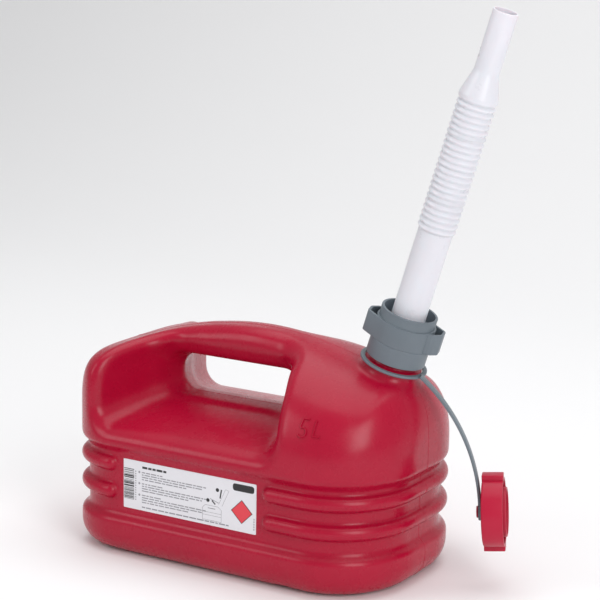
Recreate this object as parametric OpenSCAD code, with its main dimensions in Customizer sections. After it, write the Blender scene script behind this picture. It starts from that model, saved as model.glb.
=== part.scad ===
// Fuel jerry can: a blow-moulded tank with its handle formed in one piece, a screw-on
// flexible pouring spout, and a closing cap kept on a moulded strap.
// The origin is the centre of the base. +X points to the spout, +Z up. The two mould halves meet on y = 0.

/* [Tank] */
// Length of the tank
tank_l = 280; // [268:1:292]
// Width of the tank
tank_w = 170; // [162:1:178]
// Height from the floor to the top of the handle
tank_h = 179; // [175:1:185]
// Wall thickness of the moulding
wall = 2; // [1.6:0.1:2.4]
// Plan corner at the spout end, along the tank
spout_corner_x = 63; // [50:1:66]
// Plan corner at the spout end, across the tank
spout_corner_y = 68; // [50:1:70]
// Plan corner at the rear end, along the tank
rear_corner_x = 47; // [35:1:60]
// Plan corner at the rear end, across the tank
rear_corner_y = 43; // [35:1:60]
// Radius of the bottom edge
bottom_r = 20; // [10:1:24]

/* [Ribbed band] */
// Top of the plinth under the ribbed band
plinth_top = 32; // [28:1:36]
// Lower edge of the plain upper body
band_top = 85; // [82:1:90]
// Depth of the band behind the plain walls
band_depth = 6; // [3:0.5:8]
// Height of the middle of the lower rib
rib_low = 51; // [48:1:54]
// Height of the middle of the upper rib
rib_high = 73; // [70:1:76]
// Height of a rib at its crest
rib_crest = 8; // [6:0.5:10]
// Height of the slope on each side of a rib
rib_slope = 3; // [2:0.5:4]

/* [Hand hole] */
// Rear end of the hole on the mould line
hole_x0 = -80; // [-86:1:-72]
// Spout end of the hole on the mould line
hole_x1 = 32; // [26:1:36]
// Height of the saddle under the hole
saddle_z = 118; // [114:1:122]
// Underside of the handle
grip_z = 149; // [146:1:152]
// Width of the handle
grip_w = 38; // [32:1:44]

/* [Neck] */
// Distance from the middle of the tank to the neck axis, measured at neck_z
neck_x = 109.6; // [106:0.2:112]
// Height of the neck's reference point on its axis
neck_z = 169; // [168:0.2:171]
// Lean of the neck towards the spout end
neck_tilt = 17; // [14:0.5:20]
// Radius of the neck over its thread
neck_r = 16.7; // [16:0.1:17.2]
// Radius of the bore of the neck
neck_bore_r = 13.8; // [13:0.1:14.2]
// Height of the neck's rim over its reference point
neck_rim = 22.5; // [21:0.5:25]
// Radius of the round boss under the collar
boss_r = 22; // [21:0.1:22]

/* [Collar] */
// Outer radius of the collar
collar_r = 22.7; // [22.7:0.1:24]
// Height of the collar
collar_h = 38.5; // [37:0.5:41]
// Radius of the ring over the grip band
collar_top_r = 21.5; // [21:0.1:22]
// Wall thickness of the collar's skirt and wings
collar_wall = 2; // [1.6:0.1:2.4]
// Reach of a wing from the axis
wing_reach = 29.5; // [28:0.5:33]
// Width of a wing at its tip
wing_tip = 10.4; // [8:0.2:12]
// Turn of the wings from the tank's length
wing_turn = 17; // [0:1:90]

/* [Spout] */
// Outer radius of the base tube
spout_r = 13; // [12.4:0.1:13]
// Wall thickness of the spout
spout_wall = 1.3; // [1:0.1:1.6]
// Height of the bellows' lower end over the neck's reference point
bellows_z0 = 105; // [95:1:110]
// Length of the bellows
bellows_l = 100; // [80:1:120]
// Number of folds in the bellows
folds = 22; // [16:1:26]
// Outer radius of the folds
fold_r = 14.5; // [14:0.1:15.5]
// Depth of the folds
fold_depth = 1.5; // [1:0.1:2]
// Length of the cone between bellows and nozzle
cone_l = 23; // [15:1:30]
// Length of the nozzle
nozzle_l = 45; // [35:1:60]
// Outer radius of the nozzle
nozzle_r = 9.4; // [8.5:0.1:10]

/* [Strap and cap] */
// Inner radius of the strap's ring
strap_ring_r = 22.3; // [22.3:0.1:22.5]
// Radial width of the strap's ring
strap_ring_w = 3.5; // [3:0.5:5]
// Thickness of the strap
strap_t = 2; // [1.6:0.1:2.4]
// Width of the strap
strap_w = 8; // [6:0.5:10]
// Direction in which the strap hangs, from the tank's length
strap_turn = 22; // [15:1:30]
// Radius of the arc in which the strap hangs
strap_arc_r = 140.6; // [136:0.2:145]
// Outer radius of the cap
cap_r = 26; // [25:0.5:28]
// Depth of the cap
cap_h = 16; // [15:0.5:18]
// Height of the cap's two lugs
lug_h = 3.5; // [2:0.5:5]

/* [Label] */
// Rear end of the label
label_x0 = -82; // [-84:1:-78]
// Length of the label
label_l = 121; // [100:1:122]
// Lower edge of the label
label_z0 = 39.5; // [38:0.5:42]
// Height of the label
label_h = 39; // [30:1:40]

/* [Hidden] */
$fn = 96;

red = [0.70, 0.09, 0.17];
grey = [0.40, 0.44, 0.47];
milk = [0.90, 0.90, 0.92];

// The side outline of the tank, as two superellipse ends and a crowned back.
crown_x = -4;              // highest point of the handle
round_n = 2.1;             // exponent of the rounding of the ends
rear_k = 0.00175;          // fall of the back from the crown to the rear, per mm squared
rear_start = -116;         // where the rear end starts to round over
rear_z = tank_h - 58;      // where that rounding meets the end wall
crown_k = 0.00185;         // fall of the back from the crown towards the neck, per mm squared
crown_l = 70;              // length of that curve, after which the back runs straight
front_x = 112;             // where the spout end starts to round over
front_z = tank_h - 68;     // where that rounding meets the end wall
shoulder_z = 101;          // where the sides start to round inwards
side_n = 2.1;              // exponent of the sides' rounding
rear_n = 5;                // the same at the rear end, which is squarer
rear_n_x = [-50, -105];    // where the sides start and end turning squarer
hand_flare_rear = 0.35;    // how fast the hand hole widens outwards at the rear
hand_flare_front = 0.25;   // the same at the spout end
scoop_drop = 17;           // fall of the saddle from the mould line to the side
scoop_n = 1.4;             // exponent of that fall
tiny = 0.01;

function arc_rest(u, n) = u >= 1 ? 0 : u <= 0 ? 1 : pow(1 - pow(u, n), 1 / n);
function back_fall(dx) = dx < crown_l ? crown_k * dx * dx
                       : crown_k * crown_l * crown_l + 2 * crown_k * crown_l * (dx - crown_l);
front_top = tank_h - back_fall(front_x - crown_x);
rear_top = tank_h - rear_k * pow(crown_x - rear_start, 2);
function side_exponent(x) =
    side_n + (rear_n - side_n) * min(1, max(0, (rear_n_x[0] - x) / (rear_n_x[0] - rear_n_x[1])));

// Height of the top of the tank at x, for a skin g inside the outer one.
function top_z(x, g) =
    x < rear_start
      ? rear_z + (rear_top - g - rear_z) * arc_rest((rear_start - x) / (tank_l / 2 + rear_start - g), round_n)
    : x < crown_x ? tank_h - g - rear_k * pow(crown_x - x, 2)
    : x < front_x ? tank_h - g - back_fall(x - crown_x)
    : front_z + (front_top - g - front_z) * arc_rest((x - front_x) / (tank_l / 2 - g - front_x), round_n);

// Rear and front limits of the section at height z.
function rear_x(z, g) =
    z <= rear_z ? g - tank_l / 2
    : z < rear_top - g
      ? rear_start - (tank_l / 2 + rear_start - g) * arc_rest((z - rear_z) / (rear_top - g - rear_z), round_n)
    : crown_x - sqrt((tank_h - g - z) / rear_k);
function back_run(fall) = fall < crown_k * crown_l * crown_l ? sqrt(fall / crown_k)
                        : crown_l + (fall - crown_k * crown_l * crown_l) / (2 * crown_k * crown_l);
function spout_x(z, g) =
    z <= front_z ? tank_l / 2 - g
    : z < front_top - g
      ? front_x + (tank_l / 2 - g - front_x) * arc_rest((z - front_z) / (front_top - g - front_z), round_n)
    : crown_x + back_run(tank_h - g - z);

// Half width of the plan outline at x, d inside the widest outline.
function corner_w(x, start, rx, ry, d) =
    tank_w / 2 - ry + (ry - d) * sqrt(max(0, 1 - pow(max(0, x - start) / (rx - d), 2)));
function plan_w(x, d) = min(corner_w(x, tank_l / 2 - spout_corner_x, spout_corner_x, spout_corner_y, d),
                            corner_w(-x, tank_l / 2 - rear_corner_x, rear_corner_x, rear_corner_y, d));
// The two panels that carry the label have no ribs. They end between each pair of panel_ends.
panel_ends = [label_x0 - 6, label_x0 - 3, label_x0 + label_l + 3, label_x0 + label_l + 6];
function panel(x) = x > panel_ends[0] + tiny && x < panel_ends[3] - tiny;
function side_w(x, z, d, g) =
    plan_w(x, (panel(x) && z > plinth_top && z < band_top ? band_depth : d) + g)
    * arc_rest((z - shoulder_z) / (max(top_z(x, g), shoulder_z + 1) - shoulder_z), side_exponent(x));

// Heights of the level sections, each with its inset behind the widest outline.
rib_levels = [for (c = [rib_low, rib_high]) for (s = [-1, 1])
              for (e = s < 0 ? [[rib_slope, band_depth], [0, 0]] : [[0, 0], [rib_slope, band_depth]])
                  [c + s * (rib_crest / 2 + e[0]), e[1]]];
levels = concat([for (a = [0 : 30 : 90]) [bottom_r * (1 - cos(a)), bottom_r * (1 - sin(a))]],
                [[plinth_top - 1, 0], [plinth_top, band_depth]], rib_levels,
                [[band_top - 2, band_depth], [band_top, 0], [shoulder_z, 0]],
                [for (a = [15 : 12.5 : 90]) [shoulder_z + (tank_h - tiny - shoulder_z) * sin(a), 0]]);

// Places along a level ring, from the spout end to the rear. In the band, four of the n are the panel's ends.
function spread(x0, x1, n) = [for (k = [0 : n - 1]) (x0 + x1) / 2 + (x1 - x0) / 2 * cos(180 * (k + 0.5) / n)];
function stations(x0, x1, n, banded) =
    !banded ? spread(x0, x1, n)
    : let (m = floor((n - 7) / 2), e = panel_ends)
        concat([for (k = [0 : m]) e[3] + tiny + (x1 - e[3] - tiny) * cos(90 * (k + 0.5) / (m + 1))],
               [e[3], e[2], (2 * e[2] + e[1]) / 3, (e[2] + 2 * e[1]) / 3, e[1], e[0]],
               [for (k = [n - m - 8 : -1 : 0]) e[0] - tiny + (x0 - e[0] + tiny) * cos(90 * (k + 0.5) / (n - m - 7))]);

// A closed skin through level rings. Each ring has n points on each side of the mould line.
module blank(g, n) {
    heights = [for (i = [0 : len(levels) - 1])
               i == 0 ? g : i == len(levels) - 1 ? levels[i][0] - g : min(levels[i][0], tank_h - g - 1)];
    rings = [for (i = [0 : len(levels) - 1])
        let (z = heights[i], d = levels[i][1], x0 = rear_x(z, g) + d, x1 = spout_x(z, g) - d,
             xs = stations(x0, x1, n, z <= band_top))
        concat([for (k = [0 : n - 1]) [xs[k], max(tiny, side_w(xs[k], z, d, g)), z]],
               [for (k = [n - 1 : -1 : 0]) [xs[k], -max(tiny, side_w(xs[k], z, d, g)), z]])];
    skin(rings);
}

// Joins equal rings of points, from the lowest ring up, into a closed solid.
module skin(rings) {
    n = len(rings[0]);
    last = len(rings) - 1;
    polyhedron(
        points = [for (r = rings) each r],
        faces = concat([[for (k = [0 : n - 1]) k]],
                       [for (i = [0 : last - 1]) for (k = [0 : n - 1])
                        let (a = i * n + k, b = i * n + (k + 1) % n) each [[a, a + n, b], [b, a + n, b + n]]],
                       [[for (k = [n - 1 : -1 : 0]) last * n + k]]));
}

// The space for the hand: a rounded tunnel under the handle that opens out beside it.
// g > 0 makes it wider by the wall, for the inner skin.
module hand_space(g) {
    half = grip_w / 2 - g;
    stations = [0, half * 0.5, half * 0.87, half - tiny, half, 40, 60, 76, 90];
    skin([for (i = [1 - len(stations) : len(stations) - 1])
        let (y = -sign(i) * stations[abs(i)], a = abs(y), beside = a >= half,
             x0 = hole_x0 - hand_flare_rear * a - g, x1 = hole_x1 + hand_flare_front * a + g,
             z0 = saddle_z - scoop_drop * pow(a / (tank_w / 2), scoop_n) - g,
             z1 = beside ? tank_h + 20 : grip_z + 8 * (1 - sqrt(max(0, 1 - pow(a / half, 2)))) + g,
             r = min(14 + g, (z1 - z0) / 2 - tiny))
        [for (q = [0 : 3]) for (t = [0 : 22.5 : 90])
            let (cx = q == 0 || q == 3 ? x1 - r : x0 + r, cz = q < 2 ? z1 - r : z0 + r)
            [cx + r * cos(90 * q + t), y, cz + r * sin(90 * q + t)]]]);
}

module tank_skin(g, n) {
    resize([tank_l - 2 * g, 0, 0]) difference() {
        blank(g, n);
        hand_space(g);
    }
}

// Everything on the neck is drawn standing on the reference point, then leant over.
module on_neck() {
    translate([neck_x, 0, neck_z]) rotate([0, neck_tilt, 0]) children();
}

// A ring from radius r0 to r1 and from height z0 to z1.
module ring(r0, r1, z0, z1) {
    rotate_extrude() translate([r0, z0]) square([r1 - r0, z1 - z0]);
}

neck_foot = -24;
boss_top = 0.8;
module tank() {
    color(red) difference() {
        union() {
            tank_skin(0, 28);
            on_neck() translate([0, 0, neck_foot + 8]) cylinder(r = boss_r, h = boss_top - neck_foot - 8);
        }
        tank_skin(wall, 20);
        on_neck() translate([0, 0, neck_foot]) cylinder(r = neck_bore_r, h = boss_top - neck_foot + 1);
    }
}

// The neck is moulded with the tank. It is a solid of its own so that its bore stays open.
module neck() {
    color(red) on_neck() ring(neck_bore_r, neck_r, boss_top, neck_rim);
}

label_t = 0.3;
label_gap = 0.02;
module label() {
    color(milk) translate([label_x0, band_depth - tank_w / 2 - label_t - label_gap, label_z0])
        cube([label_l, label_t, label_h]);
}

// Stack on the neck's rim: gasket, spout flange, then the web of the collar.
gasket_t = 1.5;
flange_t = 2.5;
flange_z = neck_rim + gasket_t;
web_z = flange_z + flange_t + 0.05;
web_t = 3;
module spout_gasket() {
    color([0.08, 0.08, 0.08]) on_neck() ring(neck_bore_r, neck_r - 0.3, neck_rim, flange_z);
}

module spout_base() {
    color(milk) on_neck() difference() {
        union() {
            translate([0, 0, flange_z]) cylinder(r = neck_r - 0.3, h = flange_t);
            translate([0, 0, flange_z]) cylinder(r = spout_r, h = bellows_z0 - flange_z);
        }
        translate([0, 0, flange_z - 1]) cylinder(r = spout_r - spout_wall, h = bellows_z0 - flange_z + 2);
    }
}

// Stretch of the bellows from height z0 to z1 over its lower end, with a zigzag wall.
pitch = bellows_l / folds;
function fold_at(z, r) = r - fold_depth * abs(2 * (z / pitch - floor(z / pitch)) - 1);
module bellows(z0, z1) {
    kinks = [for (k = [1 : 2 * folds - 1]) let (z = k * pitch / 2) if (z > z0 + tiny && z < z1 - tiny) z];
    zs = concat([z0], kinks, [z1]);
    color(milk) on_neck() translate([0, 0, bellows_z0]) rotate_extrude()
        polygon(concat([for (z = zs) [fold_at(z, fold_r), z]],
                       [for (i = [len(zs) - 1 : -1 : 0]) [fold_at(zs[i], fold_r) - spout_wall, zs[i]]]));
}
cell = bellows_l / 4;
module bellows_1() { bellows(0, cell / 2); }
module bellows_2() { bellows(cell / 2, cell * 3 / 2); }
module bellows_3() { bellows(cell * 3 / 2, cell * 5 / 2); }
module bellows_4() { bellows(cell * 5 / 2, cell * 7 / 2); }
module bellows_5() { bellows(cell * 7 / 2, bellows_l); }

module spout_nozzle() {
    cone_r = fold_r - fold_depth;
    end_z = cone_l + nozzle_l;
    color(milk) on_neck() translate([0, 0, bellows_z0 + bellows_l]) rotate_extrude()
        polygon([[cone_r, 0], [fold_r, 2], [fold_r, 5], [nozzle_r, cone_l], [nozzle_r, end_z],
                 [nozzle_r - spout_wall, end_z], [nozzle_r - spout_wall, cone_l], [fold_r - spout_wall, 5],
                 [fold_r - spout_wall, 2], [cone_r - spout_wall, 0]]);
}

// The collar: a skirt and a threaded sleeve hang from one web, and an open ring stands on it.
collar_z = 1.2;
band_z0 = 15.2;
band_z1 = 31.5;
sleeve_r = neck_r + 0.05;
module collar() {
    top = collar_z + collar_h;
    well_r = collar_top_r - collar_wall;
    color(grey) on_neck() {
        difference() {
            union() {
                translate([0, 0, collar_z]) cylinder(r = collar_r, h = band_z1 - collar_z);
                translate([0, 0, band_z1]) cylinder(r = collar_top_r, h = top - band_z1);
                for (side = [0, 180]) rotate([0, 0, wing_turn + side]) wing();
            }
            translate([0, 0, web_z + web_t]) cylinder(r = well_r, h = top);
            translate([0, 0, web_z - 1]) cylinder(r = spout_r + 0.6, h = web_t + 2);
            translate([0, 0, collar_z - 1]) cylinder(r = sleeve_r, h = web_z - collar_z + 1);
            ring(sleeve_r + collar_wall, collar_r - collar_wall, collar_z - 1, web_z);
            ring(sleeve_r - 1, sleeve_r + collar_wall + tiny, collar_z - 1, collar_z + 5);
        }
    }
}

// A hollow wing, open at both ends, that runs off the barrel on one side and meets it in a hollow on the other.
module wing() {
    tangent = acos(collar_r / norm([wing_reach, wing_tip / 2])) + atan(wing_tip / 2 / wing_reach);
    outline = [[collar_r * cos(tangent), collar_r * sin(tangent)], [wing_reach, wing_tip / 2],
               [wing_reach, -wing_tip / 2], [23.5, -11.5], [21.4, -11.2], [19, -10], [14, 0]];
    translate([0, 0, band_z0]) linear_extrude(band_z1 - band_z0) difference() {
        polygon(outline);
        offset(delta = -collar_wall) polygon(outline);
        circle(r = collar_r - collar_wall / 2);
    }
}

// The strap's ring lies round the boss of the neck. Its tongue is in the plane of the hanging strap.
ring_z = -4.4;
root_dir = -8;                 // direction of the tongue in the plane of the ring
root_r = strap_ring_r + strap_ring_w;
root_x = neck_x + (ring_z + strap_t / 2) * sin(neck_tilt) + root_r * cos(root_dir) * cos(neck_tilt);
root_y = root_r * sin(root_dir);
root_z = neck_z + (ring_z + strap_t / 2) * cos(neck_tilt) - root_r * cos(root_dir) * sin(neck_tilt);
arc_x = -92.9;                 // centre of the hanging arc from the root
arc_z = -104;
arc_a = [47.6, 36.7, 14.9, 4]; // ends of the strap's pieces on that arc
// Everything on the strap is drawn in its own plane, with x outwards from the root.
module on_strap() {
    translate([root_x, root_y, root_z]) rotate([0, 0, strap_turn]) children();
}
module strap_arc(a0, a1) {
    translate([arc_x, 0, arc_z]) rotate([90, 0, 0]) rotate_extrude(angle = a1 - a0, start = a0)
        translate([strap_arc_r - strap_t / 2, -strap_w / 2]) square([strap_t, strap_w]);
}
module strap_ring() {
    color(grey) union() {
        on_neck() ring(strap_ring_r, root_r, ring_z, ring_z + strap_t);
        on_strap() strap_arc(arc_a[1], arc_a[0]);
    }
}
module strap_middle() {
    color(grey) on_strap() strap_arc(arc_a[2], arc_a[1]);
}

// The eye of the strap turns on a headed stud in the middle of the cap.
cap_lean = 4;                  // the cap's axis rises this much outwards
eye_r = 6.5;
eye_t = 3.2;
stud_r = 3;
eye_x = arc_x + strap_arc_r * cos(cap_lean) + 0.45;
eye_z = arc_z + strap_arc_r * sin(cap_lean) - 6.2;
// z along the cap's axis from the middle of the strap's thickness, x down.
module on_cap() {
    on_strap() translate([eye_x, 0, eye_z]) rotate([0, 90 - cap_lean, 0]) children();
}
module strap_eye() {
    color(grey) difference() {
        union() {
            on_strap() strap_arc(arc_a[3], arc_a[2]);
            on_cap() translate([0, 0, -strap_t / 2]) cylinder(r = eye_r, h = eye_t);
        }
        on_cap() translate([0, 0, -5]) cylinder(r = stud_r + 0.08, h = 10);
    }
}

cap_z = eye_t - strap_t / 2 + 0.2;   // outer face of the cap
cap_wall = 2.2;
insert_r = 18.6;
insert_z = cap_z + cap_wall;
insert_top = cap_z + cap_h + 2;
seal_t = 1.5;
module cap_shell() {
    color(red) on_cap() {
        difference() {
            union() {
                translate([0, 0, cap_z]) cylinder(r = cap_r, h = cap_h);
                for (side = [-1, 1]) translate([side * (cap_r + lug_h / 2 - 1), 0, cap_z + cap_h / 2])
                    cube([lug_h + 2, 10, cap_h], center = true);
            }
            translate([0, 0, insert_z]) cylinder(r = cap_r - cap_wall, h = cap_h);
        }
        translate([0, 0, -strap_t / 2 - 0.3]) cylinder(r = stud_r, h = cap_z + strap_t / 2 + 0.4);
        translate([0, 0, -strap_t / 2 - 1.5]) cylinder(r = stud_r + 1.5, h = 1.2);
        ring(insert_r + 0.02, insert_r + 1.4, insert_z - tiny, insert_z + 5);
    }
}
module cap_insert() {
    color(red) on_cap() difference() {
        translate([0, 0, insert_z]) cylinder(r = insert_r, h = insert_top - insert_z);
        translate([0, 0, insert_z + 2]) cylinder(r = neck_r + 0.05, h = insert_top);
    }
}
module cap_seal() {
    color([0.08, 0.08, 0.08]) on_cap() translate([0, 0, insert_z + 2]) cylinder(r = neck_r - 0.2, h = seal_t);
}

tank();
neck();
label();
spout_gasket();
spout_base();
bellows_1();
bellows_2();
bellows_3();
bellows_4();
bellows_5();
spout_nozzle();
collar();
strap_ring();
strap_middle();
strap_eye();
cap_shell();
cap_insert();
cap_seal();
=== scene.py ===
"""The looks of the jerry can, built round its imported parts.

Shapes are worked out in millimetres in the row frame and stored in metres.
Everything on the neck is drawn round the neck's axis, and everything on the cap round the cap's."""

import math
import random

import bmesh
import bpy
import numpy as np
import openvdb
from mathutils import Matrix, Vector
from mathutils.bvhtree import BVHTree


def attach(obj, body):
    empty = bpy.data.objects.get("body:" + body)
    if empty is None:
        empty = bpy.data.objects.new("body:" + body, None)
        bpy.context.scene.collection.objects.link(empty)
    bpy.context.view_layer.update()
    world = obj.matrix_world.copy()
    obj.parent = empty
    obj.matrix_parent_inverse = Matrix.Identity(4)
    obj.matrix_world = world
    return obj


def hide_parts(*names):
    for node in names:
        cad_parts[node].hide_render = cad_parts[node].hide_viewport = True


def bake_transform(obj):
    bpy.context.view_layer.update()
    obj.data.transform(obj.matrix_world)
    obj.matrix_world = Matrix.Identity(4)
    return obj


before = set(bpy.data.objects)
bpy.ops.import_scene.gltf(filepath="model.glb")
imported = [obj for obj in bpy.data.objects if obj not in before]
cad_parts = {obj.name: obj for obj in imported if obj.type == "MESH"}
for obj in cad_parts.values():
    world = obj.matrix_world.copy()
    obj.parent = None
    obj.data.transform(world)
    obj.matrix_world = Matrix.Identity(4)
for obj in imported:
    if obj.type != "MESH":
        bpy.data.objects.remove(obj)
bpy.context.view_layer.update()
MM = 0.001

# ---------------------------------------------------------------- sizes, as in the CAD model
TANK_L, TANK_W, TANK_H = 280.0, 170.0, 179.0
SPOUT_CORNER, REAR_CORNER = (63.0, 68.0), (47.0, 43.0)
BOTTOM_R, SHOULDER_Z, BAND_DEPTH = 20.0, 101.0, 6.0
RIBS_Z, RIB_HALF_H = (51.0, 73.0), 5.9
PANEL = (-94.0, 51.0)
CROWN_X, ROUND_N = -4.0, 2.1
REAR_K, REAR_START, REAR_Z = 0.00175, -116.0, TANK_H - 58
CROWN_K, CROWN_L, FRONT_X, FRONT_Z = 0.00185, 70.0, 112.0, TANK_H - 68
SIDE_N, REAR_N, REAR_N_X = 2.1, 5.0, (-50.0, -105.0)
HOLE_X0, HOLE_X1, SADDLE_Z, GRIP_Z, GRIP_W = -80.0, 32.0, 118.0, 149.0, 38.0
FLARE_REAR, FLARE_FRONT, SCOOP_DROP, SCOOP_N = 0.35, 0.25, 17.0, 1.4

NECK_X, NECK_Z, NECK_TILT = 109.6, 169.0, 17.0
NECK_R, BORE_R, NECK_RIM, BOSS_R, BOSS_TOP = 16.7, 13.8, 22.5, 22.0, 0.8
GROOVE_R, GROOVE_Z = 18.6, -2.8
COLLAR_R, COLLAR_Z, COLLAR_TOP, COLLAR_TOP_R, COLLAR_WALL = 22.7, 1.2, 39.7, 21.5, 2.0
BAND_Z, WEB_Z, SLEEVE_R = (15.2, 31.5), (26.55, 29.55), 16.75
WING_REACH, WING_TIP, WING_TURN = 29.5, 10.4, 17.0
SPOUT_R, SPOUT_WALL, FLANGE_Z, FLANGE_T = 13.0, 1.3, 24.0, 2.5
BELLOWS_Z, BELLOWS_L, FOLDS, FOLD_R, FOLD_DEPTH = 105.0, 100.0, 22, 14.5, 1.5
CONE_L, NOZZLE_L, NOZZLE_R = 23.0, 45.0, 9.4
THREAD_PITCH = 6.0

RING_R, RING_W, RING_Z, STRAP_T, STRAP_W = 22.3, 3.5, -4.4, 2.0, 8.0
STRAP_ROOT, STRAP_TURN = -8.0, 22.0
ARC_X, ARC_Z, ARC_R, ARC_A = -92.9, -104.0, 140.6, (47.6, 36.7, 14.9, 4.0)
CAP_LEAN, CAP_R, CAP_H, CAP_WALL, LUG_H = 4.0, 26.0, 16.0, 2.2, 3.5
EYE_R, EYE_T, STUD_R, INSERT_R = 6.5, 3.2, 3.0, 18.6
LABEL_X, LABEL_L, LABEL_Z, LABEL_H = -82.0, 121.0, 39.5, 39.0
CHANNELS_X, CHANNEL_R, CHANNEL_DROP = (-98.0, 60.0), 9.5, 6.5  # two shallow ones across the underside
HAND_EDGE, SCOOP_CORNER, RIB_FILLET, BOSS_FILLET, BOSS_DEPTH, BORE_DEPTH = 11.0, 7.0, 1.1, 5.0, 18.0, 24.0
HOLE_CORNER, HANDLE_FILLET, HAND_REACH, SOFTENING = 14.0, 20.0, 90.0, 1.5
MARK_W, MARK_H = 1.4, 1.1


# ---------------------------------------------------------------- frames of the leaning pieces
def turned(x, y, z, angle, axis):
    return Matrix.Translation((x, y, z)) @ Matrix.Rotation(math.radians(angle), 4, axis)


NECK = turned(NECK_X, 0, NECK_Z, NECK_TILT, "Y")
neck_lean, root_turn, root_r = math.radians(NECK_TILT), math.radians(STRAP_ROOT), RING_R + RING_W
ring_middle, root_out = RING_Z + STRAP_T / 2, root_r * math.cos(root_turn)
ROOT = (NECK_X + ring_middle * math.sin(neck_lean) + root_out * math.cos(neck_lean),
        root_r * math.sin(root_turn),
        NECK_Z + ring_middle * math.cos(neck_lean) - root_out * math.sin(neck_lean))
STRAP = turned(*ROOT, STRAP_TURN, "Z")
cap_lean = math.radians(CAP_LEAN)
CAP = STRAP @ turned(ARC_X + ARC_R * math.cos(cap_lean) + 0.45, 0, ARC_Z + ARC_R * math.sin(cap_lean) - 6.2,
                     90 - CAP_LEAN, "Y")
CAP_Z = EYE_T - STRAP_T / 2 + 0.2
INSERT_Z = CAP_Z + CAP_WALL
INSERT_TOP = CAP_Z + CAP_H + 2


# ---------------------------------------------------------------- materials
def linear(rgb):
    """sRGB from 0 to 255 as linear light."""
    return tuple((c / 255 / 12.92) if c <= 10 else ((c / 255 + 0.055) / 1.055) ** 2.4 for c in rgb)


def moulded(name, rgb, roughness, tone=0.06, grain=0.12, grain_size=0.5, scuffs=0.0,
            subsurface=0.0, specular=0.5):
    """A moulded plastic: slow tone changes, a fine surface grain and uneven gloss, with faint scuffs."""
    mat = bpy.data.materials.new(name)
    mat.use_nodes = True
    nodes, links = mat.node_tree.nodes, mat.node_tree.links
    shader = nodes["Principled BSDF"]
    base = linear(rgb)
    where = nodes.new("ShaderNodeTexCoord").outputs["Object"]

    def noise(per_metre, detail, rough=0.5):
        n = nodes.new("ShaderNodeTexNoise")
        n.inputs["Scale"].default_value = per_metre
        n.inputs["Detail"].default_value = detail
        n.inputs["Roughness"].default_value = rough
        links.new(where, n.inputs["Vector"])
        return n.outputs["Fac"]

    ramp = nodes.new("ShaderNodeValToRGB")
    for element, at, gain in zip(ramp.color_ramp.elements, (0.3, 0.7), (1 - tone, 1 + tone)):
        element.position = at
        element.color = (*[min(1, c * gain) for c in base], 1)
    links.new(noise(22, 4), ramp.inputs["Fac"])
    links.new(ramp.outputs["Color"], shader.inputs["Base Color"])

    gloss = nodes.new("ShaderNodeMapRange")
    gloss.inputs["From Min"].default_value, gloss.inputs["From Max"].default_value = 0.3, 0.7
    gloss.inputs["To Min"].default_value = roughness - 0.04
    gloss.inputs["To Max"].default_value = roughness + 0.05
    links.new(noise(70, 6, 0.65), gloss.inputs["Value"])
    out = gloss.outputs["Result"]
    if scuffs:
        worn = nodes.new("ShaderNodeMapRange")
        worn.inputs["From Min"].default_value, worn.inputs["From Max"].default_value = 0.62, 0.74
        worn.inputs["To Max"].default_value = scuffs
        links.new(noise(9, 9, 0.75), worn.inputs["Value"])
        add = nodes.new("ShaderNodeMath")
        links.new(out, add.inputs[0])
        links.new(worn.outputs["Result"], add.inputs[1])
        out = add.outputs["Value"]
    links.new(out, shader.inputs["Roughness"])

    bump = nodes.new("ShaderNodeBump")
    bump.inputs["Strength"].default_value = grain
    bump.inputs["Distance"].default_value = 0.0002
    links.new(noise(1000 / grain_size, 3, 0.6), bump.inputs["Height"])
    links.new(bump.outputs["Normal"], shader.inputs["Normal"])
    shader.inputs["IOR"].default_value = 1.5
    shader.inputs["Subsurface Weight"].default_value = subsurface
    shader.inputs["Subsurface Radius"].default_value = (0.006, 0.004, 0.004)
    shader.inputs["Subsurface Scale"].default_value = 0.5
    shader.inputs["Specular IOR Level"].default_value = specular
    return mat


RED = moulded("tank_plastic", (167, 9, 46), 0.27, tone=0.04, grain=0.03, grain_size=0.9, scuffs=0.06,
              specular=0.3)
CAP_RED = moulded("cap_plastic", (178, 14, 52), 0.38, tone=0.05, grain=0.05, grain_size=0.8, specular=0.35)
GREY = moulded("grey_plastic", (104, 114, 122), 0.44, tone=0.09, grain=0.06, grain_size=0.8)
MILK = moulded("milky_plastic", (224, 222, 229), 0.3, tone=0.015, grain=0.015, grain_size=0.9, subsurface=0.4)
RUBBER = moulded("seal_rubber", (30, 30, 31), 0.72, tone=0.15, grain=0.3, grain_size=0.3)
FILM = moulded("label_film", (226, 226, 231), 0.4, tone=0.012, grain=0.04, grain_size=0.25)
INK = moulded("label_ink_dark", (34, 34, 36), 0.5, tone=0.1, grain=0.05)
INK_GREY = moulded("label_ink_grey", (142, 142, 148), 0.5, tone=0.08, grain=0.05)
INK_RED = moulded("label_ink_red", (222, 62, 74), 0.48, tone=0.05, grain=0.05)


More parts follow.
